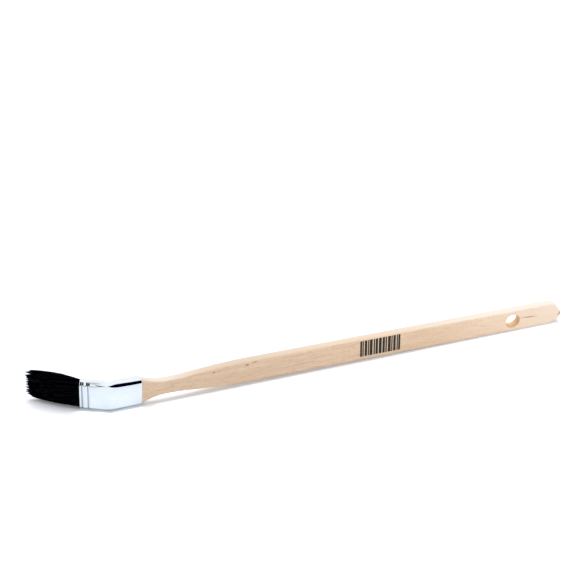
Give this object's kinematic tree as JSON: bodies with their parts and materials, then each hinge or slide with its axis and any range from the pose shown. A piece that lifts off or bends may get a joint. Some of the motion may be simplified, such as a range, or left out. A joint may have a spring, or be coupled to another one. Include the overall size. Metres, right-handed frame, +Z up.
{
  "type": "radiator brush",
  "caption": "Angled radiator paint brush with a long flat wooden handle, a hang hole, a bent bright metal ferrule and a black bristle tuft, for painting behind radiators.",
  "frame": {"origin": "middle of the brush's outline on the floor it stands on, with the brush on its narrow edge", "axes": "+X along the handle towards the hang hole, +Z up across the handle's width, -Y out of the outer face of the bend"},
  "size_m": [0.4176, 0.0394, 0.0269],
  "materials": {
    "wood": "bare, sanded",
    "tin": "bright tinned sheet",
    "bristle": "black bristle",
    "resin": "cast resin",
    "steel": "bright tack"
  },
  "bodies": {
    "root": {"handle": "wood", "ferrule": "tin", "setting_resin": "resin", "spacer_strip": "wood", "bristles_front_upper": "bristle", "bristles_front_lower": "bristle", "bristles_back_upper": "bristle", "bristles_back_lower": "bristle", "ferrule_tack_upper": "steel", "ferrule_tack_lower": "steel"}
  },
  "joints": []
}
